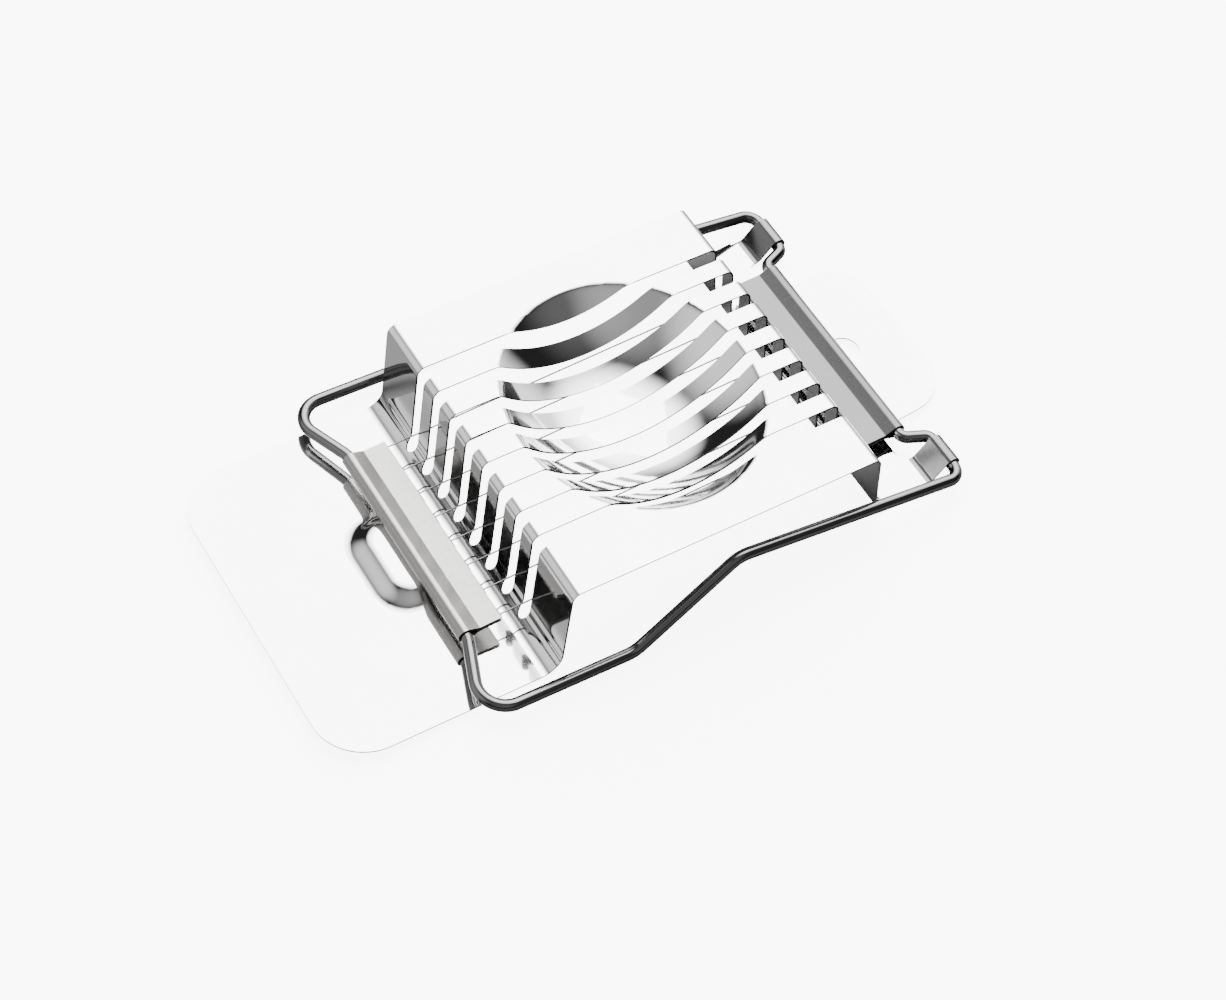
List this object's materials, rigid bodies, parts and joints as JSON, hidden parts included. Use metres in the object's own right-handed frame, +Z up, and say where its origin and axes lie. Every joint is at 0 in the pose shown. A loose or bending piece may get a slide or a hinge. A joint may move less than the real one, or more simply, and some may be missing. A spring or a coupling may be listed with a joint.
{
  "type": "egg slicer",
  "caption": "Wire egg slicer: a pressed sheet base with a slotted egg cup, and a hinged frame of bent round rod whose folded clamps hold the cutting wires.",
  "frame": {"origin": "middle of the bounding box's bottom face, on the table", "axes": "+X from the front tab to the hinge, +Y across the wires, +Z up from the table"},
  "size_m": [0.1757, 0.0996, 0.0275],
  "materials": {
    "polished_sheet": "mirror polished stainless sheet",
    "bright_rod": "bright drawn stainless rod",
    "satin_strip": "satin stainless strip",
    "wire_steel": "drawn stainless wire"
  },
  "bodies": {
    "base": {"base_plate": "polished_sheet"},
    "cutting_frame": {"frame_rod": "bright_rod", "front_clamp": "satin_strip", "rear_clamp": "satin_strip", "wire_1": "wire_steel", "wire_2": "wire_steel", "wire_3": "wire_steel", "wire_4": "wire_steel", "wire_5": "wire_steel", "wire_6": "wire_steel", "wire_7": "wire_steel", "wire_8": "wire_steel"}
  },
  "joints": [
    {"name": "frame_hinge", "type": "hinge", "parent": "base", "child": "cutting_frame", "pos_m": [0.0748, 0, 0.00404], "axis": [0, 1, 0], "range_deg": [0, 168]}
  ]
}
